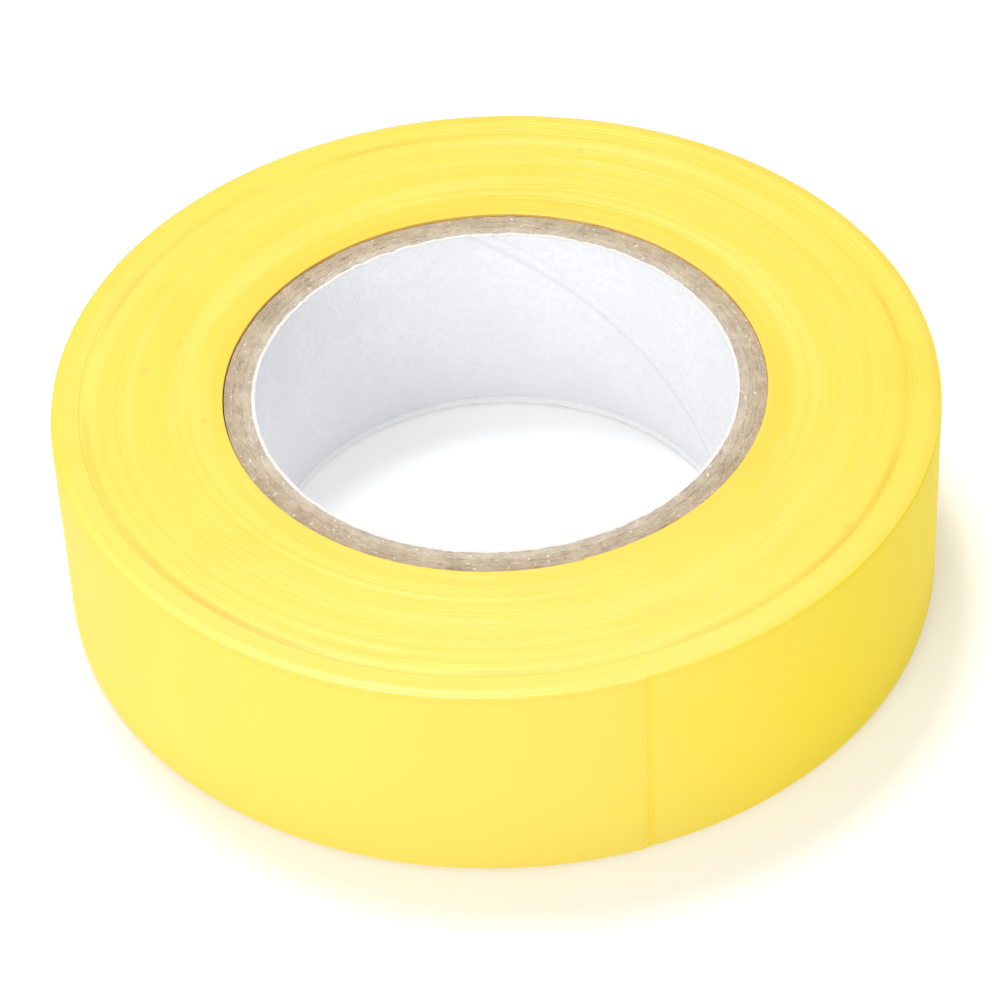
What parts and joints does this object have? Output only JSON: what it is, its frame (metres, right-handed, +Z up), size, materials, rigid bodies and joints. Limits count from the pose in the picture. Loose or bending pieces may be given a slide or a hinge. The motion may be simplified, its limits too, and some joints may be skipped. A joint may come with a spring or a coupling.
{
  "type": "electrical tape roll",
  "caption": "Roll of yellow vinyl electrical tape wound on a hollow paper core, with a free end that peels back off the outside.",
  "frame": {"origin": "centre of the roll's lower face, on the roll's axis", "axes": "+Z up along the roll's axis, -Y the front, with the tape's free end a little to its right"},
  "size_m": [0.0725, 0.0725, 0.0191],
  "materials": {
    "vinyl_film": "smooth soft vinyl with a satin gloss; fine grooves between the turns on the side faces",
    "adhesive": "thin clear rubber adhesive coat, slightly wet-looking",
    "chipboard": "grey-brown recycled chipboard with pale fibres, cut edge matt and rough",
    "liner_paper": "smooth white liner paper, matt, with a slanted seam"
  },
  "bodies": {
    "roll": {"core_liner": "liner_paper", "core_ply_1": "chipboard", "core_ply_2": "chipboard", "core_ply_3": "chipboard", "tape_band_1": "vinyl_film", "tape_band_2": "vinyl_film", "tape_band_3": "vinyl_film", "tape_band_4": "vinyl_film", "tape_band_5": "vinyl_film", "outer_turn_film": "vinyl_film", "outer_turn_adhesive": "adhesive"},
    "peel_1": {"peel_film_1": "vinyl_film", "peel_adhesive_1": "adhesive"},
    "peel_2": {"peel_film_2": "vinyl_film", "peel_adhesive_2": "adhesive"},
    "peel_3": {"peel_film_3": "vinyl_film", "peel_adhesive_3": "adhesive"},
    "peel_4": {"peel_film_4": "vinyl_film", "peel_adhesive_4": "adhesive"},
    "peel_5": {"peel_film_5": "vinyl_film", "peel_adhesive_5": "adhesive"},
    "peel_6": {"peel_film_6": "vinyl_film", "peel_adhesive_6": "adhesive"},
    "peel_7": {"peel_film_7": "vinyl_film", "peel_adhesive_7": "adhesive"},
    "peel_8": {"peel_film_8": "vinyl_film", "peel_adhesive_8": "adhesive"},
    "peel_9": {"peel_film_9": "vinyl_film", "peel_adhesive_9": "adhesive"}
  },
  "joints": [
    {"name": "peel_bend_9", "type": "hinge", "parent": "roll", "child": "peel_9", "pos_m": [-0.03479, -0.01031, 0.00962], "axis": [0, 0, -1], "range_deg": [0, 30]},
    {"name": "peel_bend_8", "type": "hinge", "parent": "peel_9", "child": "peel_8", "pos_m": [-0.03248, -0.01619, 0.00962], "axis": [0, 0, -1], "range_deg": [0, 30]},
    {"name": "peel_bend_7", "type": "hinge", "parent": "peel_8", "child": "peel_7", "pos_m": [-0.02918, -0.02159, 0.00962], "axis": [0, 0, -1], "range_deg": [0, 30]},
    {"name": "peel_bend_6", "type": "hinge", "parent": "peel_7", "child": "peel_6", "pos_m": [-0.02499, -0.02633, 0.00962], "axis": [0, 0, -1], "range_deg": [0, 30]},
    {"name": "peel_bend_5", "type": "hinge", "parent": "peel_6", "child": "peel_5", "pos_m": [-0.02004, -0.03027, 0.00962], "axis": [0, 0, -1], "range_deg": [0, 30]},
    {"name": "peel_bend_4", "type": "hinge", "parent": "peel_5", "child": "peel_4", "pos_m": [-0.01448, -0.03329, 0.00962], "axis": [0, 0, -1], "range_deg": [0, 30]},
    {"name": "peel_bend_3", "type": "hinge", "parent": "peel_4", "child": "peel_3", "pos_m": [-0.00848, -0.03531, 0.00962], "axis": [0, 0, -1], "range_deg": [0, 30]},
    {"name": "peel_bend_2", "type": "hinge", "parent": "peel_3", "child": "peel_2", "pos_m": [-0.00222, -0.03624, 0.00962], "axis": [0, 0, -1], "range_deg": [0, 30]},
    {"name": "peel_bend_1", "type": "hinge", "parent": "peel_2", "child": "peel_1", "pos_m": [0.00411, -0.03608, 0.00962], "axis": [0, 0, -1], "range_deg": [0, 30]}
  ]
}
